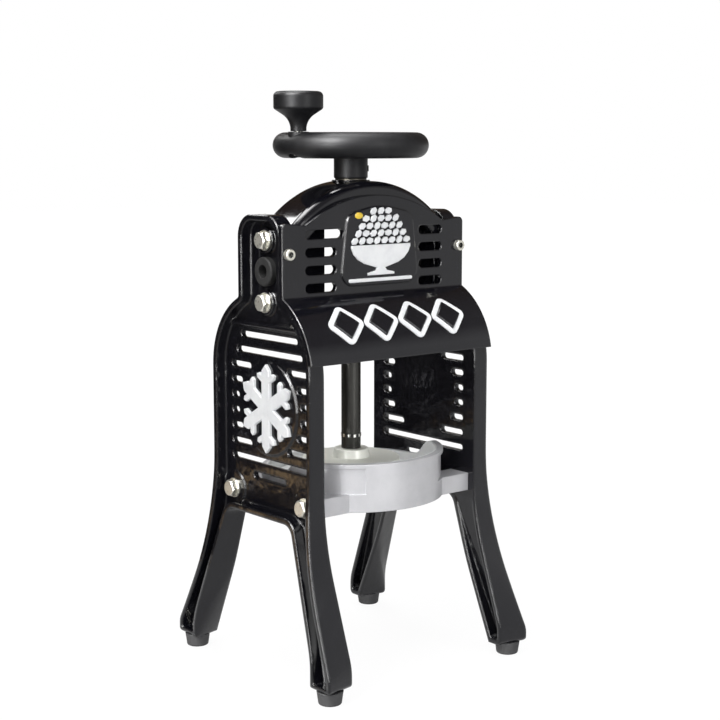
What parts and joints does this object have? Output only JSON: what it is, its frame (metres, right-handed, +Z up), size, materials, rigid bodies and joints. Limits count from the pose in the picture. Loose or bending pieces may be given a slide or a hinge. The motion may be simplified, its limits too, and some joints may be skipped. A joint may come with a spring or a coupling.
{
  "type": "hand cranked ice shaver",
  "caption": "Table-top ice shaver: a crank wheel drives a screw spindle that presses an ice block onto a bladed round table between two louvred cast side frames on splayed legs.",
  "frame": {"origin": "on the resting surface, straight under the spindle's axis and in the middle of the four feet", "axes": "+Z up along the spindle, -Y towards the front cover, +X to the right as seen from the front"},
  "size_m": [0.169, 0.1664, 0.3729],
  "materials": {
    "casting_enamel": "gloss black enamel",
    "wheel_plastic": "fine matte moulding",
    "plated_steel": "plated",
    "spindle_steel": "ground",
    "rubber": "matte",
    "table_aluminium": "satin casting",
    "presser_metal": "turned",
    "nut_brass": "turned",
    "blade_steel": "ground"
  },
  "bodies": {
    "stand": {"left_frame": "casting_enamel", "right_frame": "casting_enamel", "bridge": "casting_enamel", "front_cover": "casting_enamel", "cover_screws": "plated_steel", "upper_side_bolts": "plated_steel", "lower_side_bolts": "plated_steel", "upper_washers": "plated_steel", "lower_washers": "plated_steel", "side_grommets": "rubber", "feed_nut": "nut_brass", "nut_screws": "plated_steel", "thrust_washer": "plated_steel", "blade_table": "table_aluminium", "blade": "blade_steel", "blade_clamp": "plated_steel", "blade_screws": "plated_steel", "rubber_feet": "rubber", "foot_screws": "plated_steel"},
    "wheel": {"handwheel": "wheel_plastic", "drive_sleeve": "spindle_steel", "retaining_ring": "plated_steel", "drive_key": "spindle_steel", "set_screw": "plated_steel", "knob_pin": "plated_steel", "knob_nut": "plated_steel"},
    "knob": {"knob": "wheel_plastic"},
    "press": {"spindle": "spindle_steel", "spindle_clip": "plated_steel", "presser_plate": "presser_metal", "presser_screw": "plated_steel"}
  },
  "joints": [
    {"name": "wheel_turn", "type": "hinge", "parent": "stand", "child": "wheel", "pos_m": [0, 0, 0.3293], "axis": [0, 0, 1], "range_deg": [0, 11990]},
    {"name": "knob_spin", "type": "hinge", "parent": "wheel", "child": "knob", "pos_m": [-0.04255, 0, 0.3605], "axis": [0, 0, 1], "continuous": true},
    {"name": "press_slide", "type": "slide", "parent": "wheel", "child": "press", "axis": [0, 0, 1], "range_m": [0, 0.1]}
  ],
  "couplings": [
    {"joint": "press_slide", "follows": "wheel_turn", "m_per_rad": 0.00047746}
  ]
}
